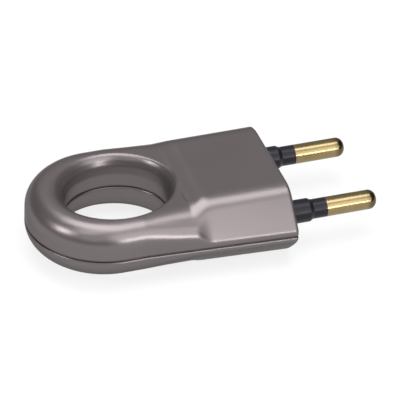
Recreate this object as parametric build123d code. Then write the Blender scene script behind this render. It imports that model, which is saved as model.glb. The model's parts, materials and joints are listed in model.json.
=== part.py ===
from build123d import *
import os
from math import acos, cos, hypot, radians, sin, tan

# Two-pin mains plug with a moulded finger ring, all sizes in millimetres.
# The origin is the middle of the front face, on the plane where the two half shells meet.
# X runs out along the pins, Y from the right pin to the left one, Z is up.

# Pins
PIN_SPACING = 19.0
PIN_DIAMETER = 4.0
PIN_REACH = 19.0
PIN_TIP_ROUND = 1.6
PIN_NECK_DIAMETER = 3.2
PIN_HEAD_DIAMETER = 6.2
PIN_HEAD_LENGTH = 7.4
WIRE_HOLE_DIAMETER = 2.4
WIRE_HOLE_DEPTH = 6.0

# Insulating sleeves
SLEEVE_REACH = 8.2
SLEEVE_COLLAR_DIAMETER = 4.8
SLEEVE_COLLAR_REACH = 4.6
SLEEVE_TAPER = 0.8
SLEEVE_END_DIAMETER = 4.0
SLEEVE_FLANGE_DIAMETER = 6.4
SLEEVE_FLANGE_THICKNESS = 1.3

# Outline of the casing on the parting plane
FRONT_HALF_WIDTH = 17.5
RING_RADIUS = 15.6
RING_CENTRE = -35.4
HOLE_CENTRE = -32.6
HOLE_HALF_LENGTH = 10.6
HOLE_HALF_WIDTH = 9.5

# Places along X where the ring turns into the body
WAIST_START = -31.0
NECK = -21.0
UPPER_SHOULDER = -17.0
LOWER_SHOULDER = -18.0
SHOULDER_STEPS = 6
SHOULDER_LEAN = 0.85

# Upper half
UPPER_HEIGHT = 7.8
UPPER_LIP = 1.1
UPPER_FLAT_FRONT = 11.3
UPPER_FLAT_REAR = 11.6
UPPER_LIP_ROUND = 1.4
UPPER_EDGE_ROUND = 5.0
UPPER_RING_HEIGHT = 6.8
UPPER_RING_ROUND = 4.3
UPPER_RIM_FRONT = 1.6
UPPER_WAIST_LIP = 2.95
UPPER_WAIST_RUN = 4.0
UPPER_WAIST_LIP_ROUND = 3.5
UPPER_WAIST_EDGE_ROUND = 6.0

# Lower half
LOWER_HEIGHT = 7.4
LOWER_LIP = 1.4
LOWER_BEVEL_RUN = 5.9
LOWER_LIP_ROUND = 1.2
LOWER_EDGE_ROUND = 4.0
LOWER_RING_HEIGHT = 5.3
LOWER_RING_ROUND = 4.6
LOWER_RIM_FRONT = 1.0
LOWER_WAIST_RUN = 3.3

# Rim of the ring's hole, front edge and the groove along the parting plane
RIM_START = 2.8
RIM_FLARE_REAR = 3.4
RIM_FLARE_SIDE = 2.0
RIM_TURNS = (0, 30, 50, 64, 74, 81)
RIM_OVERRUN = 0.25
BEVEL_CROWN = 0.08
FRONT_EDGE = 0.4
GROOVE_DEPTH = 0.45
GROOVE_HEIGHT = 0.4

# Walls and ribs inside the casing
WALL = 1.8
ROOM_REAR = -19.0
SADDLE_THICKNESS = 1.4
SADDLE_OVERHANG = 1.0
STOP_THICKNESS = 1.0
STOP_DROP = 1.6

# Cord inlet in the left side, and the bar that clamps the cord
CORD_X = -17.3
CORD_WIDTH = 5.4
CORD_THICKNESS = 3.4
CORD_SQUEEZE = 0.7
CLAMP_Y = 8.0
CLAMP_SCREW_SPAN = 8.0
CLAMP_WIDTH = 3.6
CLAMP_THICKNESS = 1.8
CLAMP_BOSS_DIAMETER = 3.0
CLAMP_SCREW_DIAMETER = 1.8
CLAMP_SCREW_BITE = 4.0
CLAMP_HEAD_DIAMETER = 3.4
CLAMP_HEAD_HEIGHT = 1.2
ANVIL_LENGTH = 2.0

# Screws that close the casing, and the brass inserts that they turn into
FRONT_CASE_SCREW = (-7.5, 0.0)
REAR_CASE_SCREW = (-17.4, -7.4)
CASE_SCREW_DIAMETER = 3.0
CASE_SCREW_REACH = 4.0
CASE_HEAD_DIAMETER = 5.4
CASE_HEAD_HEIGHT = 1.8
CASE_HEAD_RECESS = 2.6
CASE_BOSS_DIAMETER = 7.4
INSERT_DIAMETER = 4.6
INSERT_LENGTH = 4.5
INSERT_SETBACK = 0.2

# Screws that hold the conductors in the pins
TERMINAL_SCREW_SETBACK = 3.8
TERMINAL_SCREW_DIAMETER = 2.6
TERMINAL_SCREW_TOP = 2.9
TERMINAL_TIP = 0.4

# Pegs that line the two halves up
PEG_DIAMETER = 2.4
PEG_HEIGHT = 2.4

# Clearances and screw slots
FIT = 0.05
PASS = 0.15
SLOT_WIDTH = 0.7
SLOT_DEPTH = 0.6
TERMINAL_SLOT_TURN = 90
CLAMP_SLOT_TURN = 45
CASE_SLOT_TURN = 30

PIN_SIDES = {"left": PIN_SPACING / 2, "right": -PIN_SPACING / 2}
CASE_SCREWS = {"front": FRONT_CASE_SCREW, "rear": REAR_CASE_SCREW}
CLAMP_SCREWS = {
    "front": (CORD_X + CLAMP_SCREW_SPAN / 2, CLAMP_Y),
    "rear": (CORD_X - CLAMP_SCREW_SPAN / 2, CLAMP_Y),
}
CLAMP_SEAT = CORD_THICKNESS / 2 - CORD_SQUEEZE
FLANGE_FACE = -WALL - FIT
HEAD_FACE = FLANGE_FACE - SLEEVE_FLANGE_THICKNESS - FIT
HEAD_END = HEAD_FACE - PIN_HEAD_LENGTH
TERMINAL_X = HEAD_FACE - TERMINAL_SCREW_SETBACK
SIDE_PEG_Y = (HOLE_HALF_WIDTH + RING_RADIUS) / 2
PEGS = [(HOLE_CENTRE, SIDE_PEG_Y), (HOLE_CENTRE, -SIDE_PEG_Y)]


# Helpers


def half_width_at(x):
    """Half width of the casing on the parting plane, ahead of the ring."""
    return FRONT_HALF_WIDTH + (RING_RADIUS - FRONT_HALF_WIDTH) * x / WAIST_START


def upright(diameter, place, low, high):
    """Upright cylinder at a place (x, y) between two heights."""
    return Pos(place[0], place[1], low) * Cylinder(
        diameter / 2, high - low, align=(Align.CENTER, Align.CENTER, Align.MIN)
    )


def along_pin(y, diameter, start, end):
    """Cylinder along the axis of the pin at y."""
    return Plane.YZ.offset(start) * Pos(y, 0, 0) * Cylinder(
        diameter / 2, end - start, align=(Align.CENTER, Align.CENTER, Align.MIN)
    )


def turned(profile, y):
    """Solid of revolution about the axis of the pin at y, from points (x, radius)."""
    return Pos(0, y, 0) * revolve(make_face(Polyline(*profile, close=True)), Axis.X)


def slotted(screw, place, head_top, toward):
    """Screw with a driver slot cut into the top of its head."""
    slot = Box(2 * CASE_HEAD_DIAMETER, SLOT_WIDTH, 2 * SLOT_DEPTH)
    return screw - Pos(place[0], place[1], head_top) * Rot(0, 0, toward) * slot


# Outer form of a half shell, modelled upwards from the parting plane


def section(x, half):
    """Face across X. Half a profile is its foot, then the ends and middles of three arcs up to the flat top."""
    foot, arcs = half[0], half[1:]
    side = [Line(foot, arcs[0])]
    for start in (0, 2, 4):
        side.append(ThreePointArc(*arcs[start : start + 3]))
    edges = [Line((-foot.X, foot.Y), foot), *side, Line(arcs[-1], (-arcs[-1].X, arcs[-1].Y))]
    for edge in reversed(side):
        edges.append(mirror(edge, about=Plane.YZ))
    return Plane.YZ.offset(x) * make_face(edges)


def round_profile(half_width, height, radius):
    """Half a profile with an upright side and a quarter round, cut into three arcs."""
    centre = Vector(half_width - radius, height - radius)
    turns = [radians(15 * step) for step in range(7)]
    return [Vector(half_width, 0)] + [centre + Vector(cos(turn), sin(turn)) * radius for turn in turns]


def corner_round(corner, back, ahead, radius):
    """Start, middle and end of the arc that rounds a corner off between two directions."""
    half_angle = acos(back.dot(ahead)) / 2
    reach = radius / tan(half_angle)
    inward = (back + ahead).normalized()
    middle = corner + inward * (radius / sin(half_angle) - radius)
    return [corner + back * reach, middle, corner + ahead * reach]


def bevel_profile(half_width, lip, half_flat, height, lip_round, edge_round):
    """Half a profile with an upright lip, a slightly crowned bevel and a flat top, both corners rounded."""
    low = Vector(half_width, lip)
    high = Vector(half_flat, height)
    bevel = (high - low).normalized()
    low_arc = corner_round(low, Vector(0, -1), bevel, lip_round)
    top_arc = corner_round(high, -bevel, Vector(-1, 0), edge_round)
    crown = (low_arc[2] + top_arc[0]) / 2 + Vector(bevel.Y, -bevel.X) * BEVEL_CROWN
    return [Vector(half_width, 0), *low_arc, crown, *top_arc]


def outline(growth, front_x):
    """Plan of the casing on the parting plane up to front_x, grown by growth."""
    radius = RING_RADIUS + growth
    rear = ThreePointArc((RING_CENTRE, radius), (RING_CENTRE - radius, 0), (RING_CENTRE, -radius))
    half = [(RING_CENTRE, radius), (WAIST_START, radius)]
    if front_x > WAIST_START:
        half.append((front_x, half_width_at(front_x) + growth))
    sides = Polyline(*half, *[(x, -y) for x, y in reversed(half)])
    return make_face([rear, sides])


def ring_half(height, radius):
    """Rear part of a half shell with its outer edge rounded, before the hole is cut."""
    block = extrude(outline(0, WAIST_START), height)
    top_edges = block.edges().group_by(Axis.Z)[-1].sort_by(Axis.X)
    return fillet(top_edges[:-1], radius)


def hole_outline(growth, share, flare_front):
    """Plan of the ring's hole, grown by growth and by a share of the flare of its rim."""
    half_length = HOLE_HALF_LENGTH + growth + share * (RIM_FLARE_REAR + flare_front) / 2
    half_width = HOLE_HALF_WIDTH + growth + share * RIM_FLARE_SIDE
    shift = share * (flare_front - RIM_FLARE_REAR) / 2
    return Pos(HOLE_CENTRE + shift, 0) * Ellipse(half_length, half_width)


def hole_tool(ring_height, flare_front):
    """Cutter for the ring's hole in a half shell, flared in a quarter ellipse towards the rim."""
    rise = ring_height - RIM_START
    flare = []
    for turn in RIM_TURNS:
        height = RIM_START + rise * sin(radians(turn))
        flare.append(Pos(0, 0, height) * hole_outline(0, 1 - cos(radians(turn)), flare_front))
    last = radians(RIM_TURNS[-1])
    slope = rise / RIM_FLARE_SIDE / tan(last)
    top = Pos(0, 0, height + RIM_OVERRUN * slope) * hole_outline(RIM_OVERRUN, 1 - cos(last), flare_front)
    well = Pos(0, 0, -ring_height) * extrude(hole_outline(0, 0, 0), ring_height + RIM_START)
    return well + loft([*flare, top], ruled=True) + extrude(top, ring_height)


def parting_groove():
    """Strip along the parting plane, on the outside of the casing and in the ring's hole."""
    rim = outline(GROOVE_DEPTH, GROOVE_DEPTH) - outline(-GROOVE_DEPTH, -GROOVE_DEPTH)
    return extrude(rim + hole_outline(GROOVE_DEPTH, 0, 0), GROOVE_HEIGHT)


def drawn_in(values, inset):
    """Values of a bevelled profile after its side, bevel and top are drawn in by inset."""
    half_width, lip, half_flat, height = values
    run = half_width - half_flat
    rise = height - lip
    bevel = hypot(run, rise)
    lower_lip = lip - inset * (bevel - rise) / run
    narrower_flat = half_flat - inset * (bevel - run) / rise
    return (half_width - inset, lower_lip, narrower_flat, height - inset)


def upper_flat_at(x):
    """Half width of the flat top, before its edges are rounded."""
    return UPPER_FLAT_FRONT + (UPPER_FLAT_REAR - UPPER_FLAT_FRONT) * x / UPPER_SHOULDER


def lower_flat_at(x):
    """Half width of the flat underside, before its edges are rounded."""
    return half_width_at(x) - LOWER_BEVEL_RUN


def upper_body(x, inset=0):
    values = (half_width_at(x), UPPER_LIP, upper_flat_at(x), UPPER_HEIGHT)
    return bevel_profile(*drawn_in(values, inset), UPPER_LIP_ROUND, UPPER_EDGE_ROUND)


def upper_waist(x):
    half_width = half_width_at(x)
    values = (half_width, UPPER_WAIST_LIP, half_width - UPPER_WAIST_RUN, UPPER_RING_HEIGHT)
    return bevel_profile(*values, UPPER_WAIST_LIP_ROUND, UPPER_WAIST_EDGE_ROUND)


def lower_body(x, inset=0):
    values = (half_width_at(x), LOWER_LIP, lower_flat_at(x), LOWER_HEIGHT)
    return bevel_profile(*drawn_in(values, inset), LOWER_LIP_ROUND, LOWER_EDGE_ROUND)


def lower_waist(x):
    half_width = half_width_at(x)
    values = (half_width, LOWER_LIP, half_width - LOWER_WAIST_RUN, LOWER_RING_HEIGHT)
    return bevel_profile(*values, LOWER_LIP_ROUND, LOWER_EDGE_ROUND)


def shoulder_loft(waist, body, shoulder):
    """Rise from the neck to the body in an S, steeper near the neck."""
    sections = []
    for step in range(SHOULDER_STEPS + 1):
        share = step / SHOULDER_STEPS
        x = NECK + (shoulder - NECK) * share
        lean = share**SHOULDER_LEAN
        ease = lean * lean * (3 - 2 * lean)
        sections.append(section(x, [low + (high - low) * ease for low, high in zip(waist(x), body(x))]))
    return loft(sections)


def half_form(ring_height, ring_round, rim_front, waist, body, shoulder):
    """Outer form of a half shell: round ring, bars beside its hole, shoulder and bevelled body."""
    ring_end = round_profile(RING_RADIUS, ring_height, ring_round)
    bars = loft([section(WAIST_START, ring_end), section(NECK, waist(NECK))], ruled=True)
    front = [section(x, body(x)) for x in (shoulder, -FRONT_EDGE)]
    front.append(section(0, body(0, FRONT_EDGE)))
    form = ring_half(ring_height, ring_round) + bars + shoulder_loft(waist, body, shoulder)
    return form + loft(front, ruled=True) - hole_tool(ring_height, rim_front)


upper_form = half_form(
    UPPER_RING_HEIGHT, UPPER_RING_ROUND, UPPER_RIM_FRONT, upper_waist, upper_body, UPPER_SHOULDER
)
lower_form = half_form(
    LOWER_RING_HEIGHT, LOWER_RING_ROUND, LOWER_RIM_FRONT, lower_waist, lower_body, LOWER_SHOULDER
)


# Inside of a half shell, also modelled upwards from the parting plane


def inner_section(x, lip, half_flat, height):
    """Section of the cavity at x, one wall inside the bevel and the top."""
    outer = Vector(half_width_at(x), lip)
    bevel = (Vector(half_flat, height) - outer).normalized()
    start = outer + Vector(-bevel.Y, bevel.X) * WALL
    roof = height - WALL
    base_y = start.X - start.Y * bevel.X / bevel.Y
    roof_y = start.X + (roof - start.Y) * bevel.X / bevel.Y
    corners = [(-base_y, 0), (base_y, 0), (roof_y, roof), (-roof_y, roof)]
    return Plane.YZ.offset(x) * make_face(Polyline(*corners, close=True))


def cavity(lip, half_flat_at, height):
    """Room for the terminals and the conductors, between the front wall and the ring."""
    sections = [inner_section(x, lip, half_flat_at(x), height) for x in (-WALL, ROOM_REAR)]
    return loft(sections, ruled=True)


def saddles(room, height):
    """Two ribs under each pin's head, cut to its round."""
    ribs = []
    for y in PIN_SIDES.values():
        for x in (HEAD_FACE - SADDLE_THICKNESS / 2, HEAD_END + SADDLE_THICKNESS / 2):
            rib = Pos(x, y, height / 2) * Box(SADDLE_THICKNESS, PIN_HEAD_DIAMETER + 2 * SADDLE_OVERHANG, height)
            ribs.append((rib & room) - along_pin(y, PIN_HEAD_DIAMETER + 2 * FIT, HEAD_END - FIT, HEAD_FACE))
    return ribs


def cord_channel():
    """Way in for a flat twin cord through the left side."""
    mouth = Plane((CORD_X, CLAMP_Y, 0), x_dir=(1, 0, 0), z_dir=(0, 1, 0))
    return extrude(mouth * SlotOverall(CORD_WIDTH + 2 * PASS, CORD_THICKNESS + 2 * PASS), FRONT_HALF_WIDTH)


def sleeve_notches():
    """Round openings in the front wall for the collars of the sleeves."""
    return [along_pin(y, SLEEVE_COLLAR_DIAMETER + 2 * FIT, -2 * WALL, WALL) for y in PIN_SIDES.values()]


def clamp_outline(play):
    """Outline of the clamp bar seen from above, with play all round."""
    return Pos(CORD_X, CLAMP_Y) * SlotCenterToCenter(CLAMP_SCREW_SPAN, CLAMP_WIDTH + 2 * play)


def make_upper_shell():
    room = cavity(UPPER_LIP, upper_flat_at, UPPER_HEIGHT)
    shell = upper_form - room
    for rib in saddles(room, UPPER_HEIGHT):
        shell += rib
    for place in CASE_SCREWS.values():
        shell += upright(CASE_BOSS_DIAMETER, place, 0, UPPER_HEIGHT - WALL / 2)
        shell -= upright(INSERT_DIAMETER + 2 * FIT, place, 0, INSERT_SETBACK + INSERT_LENGTH + FIT)
    for place in PEGS:
        shell -= upright(PEG_DIAMETER + 2 * FIT, place, 0, PEG_HEIGHT + PASS)
    clamp_top = CLAMP_SEAT + CLAMP_THICKNESS + CLAMP_HEAD_HEIGHT + PASS
    shell -= extrude(clamp_outline(PASS), clamp_top)
    shell -= cord_channel()
    for notch in sleeve_notches():
        shell -= notch
    return shell


def make_lower_shell():
    """Built upwards like the other half, then turned over."""
    room = cavity(LOWER_LIP, lower_flat_at, LOWER_HEIGHT)
    shell = lower_form - parting_groove() - room
    for rib in saddles(room, LOWER_HEIGHT):
        shell += rib
    for y in PIN_SIDES.values():
        stop = Pos(HEAD_END - FIT - STOP_THICKNESS / 2, y, STOP_DROP + LOWER_HEIGHT / 2)
        shell += stop * Box(STOP_THICKNESS, PIN_HEAD_DIAMETER, LOWER_HEIGHT) & room
    anvil_top = CORD_THICKNESS / 2 - CORD_SQUEEZE / 2
    anvil = Pos(CORD_X, CLAMP_Y, anvil_top + LOWER_HEIGHT / 2) * Box(CORD_WIDTH, ANVIL_LENGTH, LOWER_HEIGHT)
    for place in CASE_SCREWS.values():
        shell += upright(CASE_BOSS_DIAMETER, place, 0, LOWER_HEIGHT - WALL / 2)
        shell -= upright(CASE_SCREW_DIAMETER + 2 * PASS, place, 0, LOWER_HEIGHT)
        shell -= upright(CASE_HEAD_DIAMETER + 2 * PASS, place, LOWER_HEIGHT - CASE_HEAD_RECESS, 2 * LOWER_HEIGHT)
    shell -= cord_channel()
    shell += anvil & room
    for place in CLAMP_SCREWS.values():
        shell += upright(CLAMP_BOSS_DIAMETER, place, 0, LOWER_HEIGHT) & lower_form
        shell += upright(CLAMP_BOSS_DIAMETER, place, -CLAMP_SEAT, 0)
        shell -= upright(CLAMP_SCREW_DIAMETER + 2 * FIT, place, -CLAMP_SEAT, CLAMP_SCREW_BITE)
    for place in PEGS:
        shell += upright(PEG_DIAMETER, place, -PEG_HEIGHT, PEG_HEIGHT)
    for notch in sleeve_notches():
        shell -= notch
    return mirror(shell, about=Plane.XY)


# Metal parts, sleeves and clamp


def make_pin(y):
    """Turned brass pin: bare round-ended tip, neck under the sleeve, and head with the wire hole."""
    shank = PIN_DIAMETER / 2
    neck = PIN_NECK_DIAMETER / 2
    head = PIN_HEAD_DIAMETER / 2
    rear = Polyline(
        (PIN_REACH, shank - PIN_TIP_ROUND),
        (PIN_REACH, 0),
        (HEAD_END, 0),
        (HEAD_END, head),
        (HEAD_FACE, head),
        (HEAD_FACE, neck),
        (SLEEVE_REACH + FIT, neck),
        (SLEEVE_REACH + FIT, shank),
        (PIN_REACH - PIN_TIP_ROUND, shank),
    )
    tip = RadiusArc((PIN_REACH - PIN_TIP_ROUND, shank), (PIN_REACH, shank - PIN_TIP_ROUND), PIN_TIP_ROUND)
    pin = Pos(0, y, 0) * revolve(make_face([rear, tip]), Axis.X)
    pin -= along_pin(y, WIRE_HOLE_DIAMETER, HEAD_END, HEAD_END + WIRE_HOLE_DEPTH)
    return pin - upright(TERMINAL_SCREW_DIAMETER + 2 * FIT, (TERMINAL_X, y), 0, PIN_HEAD_DIAMETER)


def make_sleeve(y):
    """Moulded sleeve: flange behind the front wall, collar through it, slimmer outer end."""
    bore = PIN_NECK_DIAMETER / 2 + FIT
    flange = SLEEVE_FLANGE_DIAMETER / 2
    collar = SLEEVE_COLLAR_DIAMETER / 2
    end = SLEEVE_END_DIAMETER / 2
    return turned(
        [
            (FLANGE_FACE - SLEEVE_FLANGE_THICKNESS, bore),
            (FLANGE_FACE - SLEEVE_FLANGE_THICKNESS, flange),
            (FLANGE_FACE, flange),
            (FLANGE_FACE, collar),
            (SLEEVE_COLLAR_REACH, collar),
            (SLEEVE_COLLAR_REACH + SLEEVE_TAPER, end),
            (SLEEVE_REACH, end),
            (SLEEVE_REACH, bore),
        ],
        y,
    )


def make_terminal_screw(y):
    """Headless slotted screw, sunk in the head of the pin."""
    place = (TERMINAL_X, y)
    screw = upright(TERMINAL_SCREW_DIAMETER, place, TERMINAL_TIP, TERMINAL_SCREW_TOP)
    return slotted(screw, place, TERMINAL_SCREW_TOP, TERMINAL_SLOT_TURN)


def make_cord_clamp():
    """Bar with rounded ends, a hole at each end and a shallow hollow for the cord."""
    bar = Pos(0, 0, CLAMP_SEAT) * extrude(clamp_outline(0), CLAMP_THICKNESS)
    for place in CLAMP_SCREWS.values():
        bar -= upright(CLAMP_SCREW_DIAMETER + 2 * PASS, place, CLAMP_SEAT, CLAMP_SEAT + CLAMP_THICKNESS)
    hollow = Plane((CORD_X, 0, 0), x_dir=(1, 0, 0), z_dir=(0, 1, 0))
    return bar - extrude(hollow * SlotOverall(CORD_WIDTH, 2 * CLAMP_SEAT + CORD_SQUEEZE), 2 * CLAMP_Y)


def make_clamp_screw(place):
    seat = CLAMP_SEAT + CLAMP_THICKNESS + FIT
    head_top = seat + CLAMP_HEAD_HEIGHT
    screw = upright(CLAMP_SCREW_DIAMETER, place, PASS - CLAMP_SCREW_BITE, head_top)
    screw += upright(CLAMP_HEAD_DIAMETER, place, seat, head_top)
    return slotted(screw, place, head_top, CLAMP_SLOT_TURN)


def make_case_screw(place):
    seat = CASE_HEAD_RECESS - LOWER_HEIGHT - FIT
    head_bottom = seat - CASE_HEAD_HEIGHT
    screw = upright(CASE_SCREW_DIAMETER, place, head_bottom, CASE_SCREW_REACH)
    screw += upright(CASE_HEAD_DIAMETER, place, head_bottom, seat)
    return slotted(screw, place, head_bottom, CASE_SLOT_TURN)


def make_case_insert(place):
    """Brass bush moulded into the upper half."""
    low = INSERT_SETBACK
    bush = upright(INSERT_DIAMETER, place, low, low + INSERT_LENGTH)
    return bush - upright(CASE_SCREW_DIAMETER + 2 * FIT, place, low, low + INSERT_LENGTH)


parts = {
    "upper_shell": make_upper_shell(),
    "lower_shell": make_lower_shell(),
    "cord_clamp": make_cord_clamp(),
}
for side, y in PIN_SIDES.items():
    parts[side + "_pin"] = make_pin(y)
    parts[side + "_sleeve"] = make_sleeve(y)
    parts[side + "_terminal_screw"] = make_terminal_screw(y)
for end, place in CLAMP_SCREWS.items():
    parts[end + "_clamp_screw"] = make_clamp_screw(place)
for end, place in CASE_SCREWS.items():
    parts[end + "_case_screw"] = make_case_screw(place)
    parts[end + "_case_insert"] = make_case_insert(place)

os.makedirs("parts", exist_ok=True)
for name, shape in parts.items():
    export_step(shape, "parts/" + name + ".step")
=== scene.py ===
import json
import math

import bpy
from mathutils import Matrix, Vector


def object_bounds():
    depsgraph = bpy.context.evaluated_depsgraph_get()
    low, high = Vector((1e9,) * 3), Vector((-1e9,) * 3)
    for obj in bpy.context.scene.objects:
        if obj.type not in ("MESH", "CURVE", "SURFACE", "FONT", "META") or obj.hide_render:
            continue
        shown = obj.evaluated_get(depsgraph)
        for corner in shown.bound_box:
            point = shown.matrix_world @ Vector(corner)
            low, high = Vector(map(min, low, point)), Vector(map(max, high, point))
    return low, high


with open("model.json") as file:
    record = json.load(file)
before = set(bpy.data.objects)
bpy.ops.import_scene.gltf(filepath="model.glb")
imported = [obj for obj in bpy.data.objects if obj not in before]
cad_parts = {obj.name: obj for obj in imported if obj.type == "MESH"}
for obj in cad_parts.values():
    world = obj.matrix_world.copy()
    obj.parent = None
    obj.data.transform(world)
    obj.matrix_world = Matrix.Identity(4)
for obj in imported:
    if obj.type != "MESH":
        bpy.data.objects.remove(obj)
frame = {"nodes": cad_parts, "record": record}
cad_low, cad_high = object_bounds()
nodes = frame["nodes"]
scene = bpy.context.scene
scene.view_settings.view_transform = "Standard"

# Lengths are in metres and angles in radians, unless a name or a comment says otherwise
WHITE = (1, 1, 1, 1)

# Camera of the photograph: seen from the right rear, above, and turned a little clockwise
AZIMUTH = math.radians(20.84)
ELEVATION = math.radians(35.33)
ROLL = math.radians(-2.69)
DISTANCE = 1.0
FOCAL_PIXELS = 4970.0
IMAGE_PIXELS = 400.0
ORIGIN_PIXEL = (270.2, 187.0)
SENSOR_MM = 36.0
CLIP_START = 0.05
CLIP_END = 20

# Span of the noise over which colours and finishes change
NOISE_LOW = 0.1
NOISE_HIGH = 0.9

# Casing: how round its edges look, and painted shade in its grooves: how near two faces are, and the
# painted shade's tone there
EDGE_RADIUS = 0.0007
PAINTED_SHADE_REACH = 0.0008
PAINTED_GROOVE_SHADE = 0.5
PAINTED_SHADE_OPENNESS = (0.3, 0.9)
NEARBY_SAMPLES = 8

# Pins: fine lines round the axis, and a painted dark reflection on the round end, from where to where
# along X
LINES_PER_METRE = (7000, 200, 200)
PAINTED_TIP_REFLECTION_SPAN = (0.0166, 0.0176)
PAINTED_TIP_REFLECTION_SHARE = 0.7

# Floor and surroundings
FLOOR_REACH = 3.0
FLOOR_GREYS = (0.15, 0.17)
FLOOR_ROUGHNESS = 0.9
FLOOR_GLOW = 0.8
WORLD_STRENGTH = 0.08

# Lamps: name, direction from the plug, width, height, radiance, turn in its own plane in degrees
LAMP_DISTANCE = 1.0
PLUG_MIDDLE = Vector((-0.016, 0, 0))
LAMPS = [
    ("near_softbox", (0.26, -0.76, 0.6), 0.8, 0.5, 2.8, 0.0),
    ("fill_softbox", (0.2, -0.45, 0.87), 0.6, 0.3, 1.5, 0.0),
    ("overhead_softbox", (0.03, 0.11, 0.98), 0.54, 0.95, 5.2, 54.0),
    ("back_softbox", (0.29, 0.77, 0.58), 1.2, 0.9, 0.36, 0.0),
    ("low_lamp", (0.26, -0.93, 0.26), 0.18, 0.18, 22.0, 0.0),
    ("left_softbox", (-0.34, -0.28, 0.9), 0.4, 0.5, 2.8, 0.0),
    ("corner_softbox", (-0.5, -0.7, 0.5), 0.5, 0.4, 1.2, 0.0),
    ("side_lamp", (-0.83, -0.13, 0.55), 0.3, 0.3, 12.0, 0.0),
]


def add_camera():
    """Camera that shows the frame's origin at its pixel of the photograph."""
    level = Vector((math.cos(AZIMUTH), -math.sin(AZIMUTH), 0))
    forward = Vector(
        (
            math.sin(AZIMUTH) * math.cos(ELEVATION),
            math.cos(AZIMUTH) * math.cos(ELEVATION),
            -math.sin(ELEVATION),
        )
    )
    upward = level.cross(forward)
    right = level * math.cos(ROLL) - upward * math.sin(ROLL)
    up = level * math.sin(ROLL) + upward * math.cos(ROLL)
    aside = (IMAGE_PIXELS / 2 - ORIGIN_PIXEL[0]) / FOCAL_PIXELS
    below = (IMAGE_PIXELS / 2 - ORIGIN_PIXEL[1]) / FOCAL_PIXELS
    aim = (forward + right * aside - up * below).normalized()
    right = (right - aim * right.dot(aim)).normalized()
    up = right.cross(aim)
    data = bpy.data.cameras.new("camera")
    data.sensor_width = SENSOR_MM
    data.lens = FOCAL_PIXELS / IMAGE_PIXELS * SENSOR_MM
    data.clip_start = CLIP_START
    data.clip_end = CLIP_END
    camera = bpy.data.objects.new("camera", data)
    turn = Matrix((right, up, -aim)).transposed().to_4x4()
    camera.matrix_world = Matrix.Translation(-forward * DISTANCE) @ turn
    scene.collection.objects.link(camera)
    scene.camera = camera


add_camera()

# Materials


def srgb(red, green, blue):
    """Linear colour from values of 0 to 255 as a picture shows them, by the sRGB formula."""
    values = []
    for value in (red, green, blue):
        share = value / 255
        values.append(share / 12.92 if share <= 0.04045 else ((share + 0.055) / 1.055) ** 2.4)
    return (*values, 1)


def grey(value):
    """Linear grey."""
    return (value, value, value, 1)


def new_material(name):
    """New material, its node tree and its shader."""
    material = bpy.data.materials.new(name)
    material.use_nodes = True
    tree = material.node_tree
    return material, tree, tree.nodes["Principled BSDF"]


def noise_node(tree, scale, detail):
    """Noise over the object's own coordinates."""
    place = tree.nodes.new("ShaderNodeTexCoord")
    noise = tree.nodes.new("ShaderNodeTexNoise")
    noise.inputs["Scale"].default_value = scale
    noise.inputs["Detail"].default_value = detail
    tree.links.new(place.outputs["Object"], noise.inputs["Vector"])
    return noise


def ramp_node(tree, noise, low, high):
    """Colour between two colours, driven by noise."""
    ramp = tree.nodes.new("ShaderNodeValToRGB")
    stops = ramp.color_ramp.elements
    stops[0].position = NOISE_LOW
    stops[1].position = NOISE_HIGH
    stops[0].color = low
    stops[1].color = high
    tree.links.new(noise.outputs["Fac"], ramp.inputs["Fac"])
    return ramp


def range_node(tree, source, low, high, start=NOISE_LOW, end=NOISE_HIGH):
    """Value between low and high, driven by a value that goes from start to end."""
    mapped = tree.nodes.new("ShaderNodeMapRange")
    mapped.inputs["From Min"].default_value = start
    mapped.inputs["From Max"].default_value = end
    mapped.inputs["To Min"].default_value = low
    mapped.inputs["To Max"].default_value = high
    tree.links.new(source, mapped.inputs["Value"])
    return mapped


def add_mottle(tree, shader, scale, detail, colours, roughness):
    """Colour and roughness that both follow one noise; gives the colour's node."""
    mottle = noise_node(tree, scale, detail)
    colour = ramp_node(tree, mottle, *colours)
    tree.links.new(colour.outputs["Color"], shader.inputs["Base Color"])
    finish = range_node(tree, mottle.outputs["Fac"], *roughness)
    tree.links.new(finish.outputs["Result"], shader.inputs["Roughness"])
    return colour


def add_bump(tree, shader, noise, strength, depth):
    """Bump of the surface that follows a noise; gives the bump's node."""
    bump = tree.nodes.new("ShaderNodeBump")
    bump.inputs["Strength"].default_value = strength
    bump.inputs["Distance"].default_value = depth
    tree.links.new(noise.outputs["Fac"], bump.inputs["Height"])
    tree.links.new(bump.outputs["Normal"], shader.inputs["Normal"])
    return bump


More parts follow.
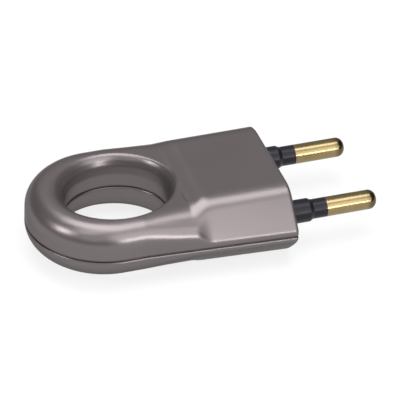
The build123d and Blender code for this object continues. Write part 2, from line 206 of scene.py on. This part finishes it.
def casing_material(name, colours):
    """Moulded plastic with a metal effect: faint flow marks, soft sheen, round edges, painted shade in
    its grooves.
    """
    material, tree, shader = new_material(name)
    colour = add_mottle(tree, shader, scale=55, detail=3, colours=colours, roughness=(0.285, 0.335))
    shader.inputs["Metallic"].default_value = 0.72
    shader.inputs["Specular IOR Level"].default_value = 0.0
    shader.inputs["Specular Tint"].default_value = grey(0.5)
    # Painted shade: the colour is darkened where nearby faces close in, in grooves and gaps between
    # parts
    occlusion = tree.nodes.new("ShaderNodeAmbientOcclusion")
    occlusion.samples = NEARBY_SAMPLES
    occlusion.inputs["Distance"].default_value = PAINTED_SHADE_REACH
    painted_shade = range_node(tree, occlusion.outputs["AO"], PAINTED_GROOVE_SHADE, 1.0, *PAINTED_SHADE_OPENNESS)
    painted_shade_mix = tree.nodes.new("ShaderNodeMixRGB")
    painted_shade_mix.blend_type = "MULTIPLY"
    painted_shade_mix.inputs["Fac"].default_value = 1.0
    tree.links.new(colour.outputs["Color"], painted_shade_mix.inputs["Color1"])
    tree.links.new(painted_shade.outputs["Result"], painted_shade_mix.inputs["Color2"])
    tree.links.new(painted_shade_mix.outputs["Color"], shader.inputs["Base Color"])
    grain = noise_node(tree, scale=1400, detail=2)
    bump = add_bump(tree, shader, grain, strength=0.05, depth=0.00002)
    edge = tree.nodes.new("ShaderNodeBevel")
    edge.samples = NEARBY_SAMPLES
    edge.inputs["Radius"].default_value = EDGE_RADIUS
    tree.links.new(edge.outputs["Normal"], bump.inputs["Normal"])
    return material


def brass_material(name, colours, roughness):
    """Drawn and turned brass: fine lines, a little tarnish, and a painted dark reflection on a pin's
    round end.
    """
    material, tree, shader = new_material(name)
    colour = add_mottle(tree, shader, scale=260, detail=4, colours=colours, roughness=roughness)
    shader.inputs["Metallic"].default_value = 1.0
    place = tree.nodes.new("ShaderNodeTexCoord")
    axes = tree.nodes.new("ShaderNodeSeparateXYZ")
    tree.links.new(place.outputs["Object"], axes.inputs["Vector"])
    # Painted dark reflection: the colour goes darker towards the round end of the pin
    tip_reflection_mask = range_node(tree, axes.outputs["X"], 0.0, PAINTED_TIP_REFLECTION_SHARE, *PAINTED_TIP_REFLECTION_SPAN)
    with_painted_reflection = tree.nodes.new("ShaderNodeMixRGB")
    with_painted_reflection.inputs["Color2"].default_value = srgb(70, 64, 46)
    tree.links.new(tip_reflection_mask.outputs["Result"], with_painted_reflection.inputs["Fac"])
    tree.links.new(colour.outputs["Color"], with_painted_reflection.inputs["Color1"])
    tree.links.new(with_painted_reflection.outputs["Color"], shader.inputs["Base Color"])
    stretch = tree.nodes.new("ShaderNodeMapping")
    stretch.inputs["Scale"].default_value = LINES_PER_METRE
    lines = tree.nodes.new("ShaderNodeTexNoise")
    lines.inputs["Scale"].default_value = 1
    tree.links.new(place.outputs["Object"], stretch.inputs["Vector"])
    tree.links.new(stretch.outputs["Vector"], lines.inputs["Vector"])
    add_bump(tree, shader, lines, strength=0.015, depth=0.00001)
    return material


def plastic_material(name, colours, specular, roughness, grain_scale):
    """Plain moulded plastic with a fine grain."""
    material, tree, shader = new_material(name)
    add_mottle(tree, shader, scale=180, detail=3, colours=colours, roughness=roughness)
    shader.inputs["Specular IOR Level"].default_value = specular
    grain = noise_node(tree, scale=grain_scale, detail=2)
    add_bump(tree, shader, grain, strength=0.1, depth=0.00002)
    return material


def steel_material(name, colours):
    """Zinc plated steel with a slightly uneven sheen."""
    material, tree, shader = new_material(name)
    add_mottle(tree, shader, scale=420, detail=4, colours=colours, roughness=(0.28, 0.4))
    shader.inputs["Metallic"].default_value = 1.0
    grain = noise_node(tree, scale=2400, detail=2)
    add_bump(tree, shader, grain, strength=0.08, depth=0.00001)
    return material


materials = {
    "casing": casing_material(
        "casing_plastic",
        colours=(srgb(115, 108, 109), srgb(123, 116, 117)),
    ),
    "pins": brass_material(
        "pin_brass",
        colours=(srgb(134, 119, 86), srgb(152, 135, 98)),
        roughness=(0.23, 0.26),
    ),
    "inserts": brass_material(
        "insert_brass",
        colours=(srgb(150, 132, 92), srgb(168, 148, 104)),
        roughness=(0.3, 0.33),
    ),
    "sleeves": plastic_material(
        "sleeve_plastic",
        colours=(srgb(20, 17, 25), srgb(30, 27, 38)),
        specular=0.25,
        roughness=(0.3, 0.4),
        grain_scale=1600,
    ),
    "screws": steel_material(
        "screw_steel",
        colours=(srgb(172, 171, 166), srgb(198, 197, 192)),
    ),
    "clamp": plastic_material(
        "clamp_plastic",
        colours=(srgb(120, 108, 96), srgb(138, 126, 112)),
        specular=0.5,
        roughness=(0.45, 0.55),
        grain_scale=1100,
    ),
}
for part in frame["record"]["subparts"]:
    mesh = nodes[part["node"]].data
    mesh.materials.clear()
    mesh.materials.append(materials[part["material_slot"]])

# Floor, light and background


def floor_material():
    """Pale paper that is white to the camera and in reflections, apart from the shadow."""
    material, tree, shader = new_material("floor")
    shader.inputs["Roughness"].default_value = FLOOR_ROUGHNESS
    paper = noise_node(tree, scale=8, detail=2)
    colour = ramp_node(tree, paper, *[grey(value) for value in FLOOR_GREYS])
    tree.links.new(colour.outputs["Color"], shader.inputs["Base Color"])
    rays = tree.nodes.new("ShaderNodeLightPath")
    seen = rays.outputs["Is Camera Ray"]
    for kind in ("Is Glossy Ray", "Is Transmission Ray"):
        either = tree.nodes.new("ShaderNodeMath")
        either.operation = "MAXIMUM"
        tree.links.new(seen, either.inputs[0])
        tree.links.new(rays.outputs[kind], either.inputs[1])
        seen = either.outputs["Value"]
    glow = tree.nodes.new("ShaderNodeMath")
    glow.operation = "MULTIPLY"
    glow.inputs[1].default_value = FLOOR_GLOW
    tree.links.new(seen, glow.inputs[0])
    shader.inputs["Emission Color"].default_value = WHITE
    tree.links.new(glow.outputs["Value"], shader.inputs["Emission Strength"])
    return material


def add_floor():
    """Wide floor that the plug lies on."""
    signs = ((-1, -1), (1, -1), (1, 1), (-1, 1))
    corners = [(x * FLOOR_REACH, y * FLOOR_REACH, cad_low.z) for x, y in signs]
    mesh = bpy.data.meshes.new("floor")
    mesh.from_pydata(corners, [], [(0, 1, 2, 3)])
    mesh.materials.append(floor_material())
    floor = bpy.data.objects.new("floor", mesh)
    scene.collection.objects.link(floor)


def add_world():
    """Dim even surroundings."""
    world = bpy.data.worlds.new("surroundings")
    world.use_nodes = True
    background = world.node_tree.nodes["Background"]
    background.inputs["Color"].default_value = WHITE
    background.inputs["Strength"].default_value = WORLD_STRENGTH
    scene.world = world


def add_lamp(name, toward, width, height, radiance, turn):
    """Rectangular lamp in a direction from the plug, facing it and turned in its own plane."""
    data = bpy.data.lights.new(name, "AREA")
    data.shape = "RECTANGLE"
    data.size = width
    data.size_y = height
    data.energy = radiance * math.pi * width * height
    lamp = bpy.data.objects.new(name, data)
    place = Vector(toward).normalized() * LAMP_DISTANCE + PLUG_MIDDLE
    facing = Vector(toward).to_track_quat("Z", "Y").to_matrix().to_4x4()
    spin = Matrix.Rotation(math.radians(turn), 4, "Z")
    lamp.matrix_world = Matrix.Translation(place) @ facing @ spin
    scene.collection.objects.link(lamp)


add_floor()
add_world()
for lamp_values in LAMPS:
    add_lamp(*lamp_values)
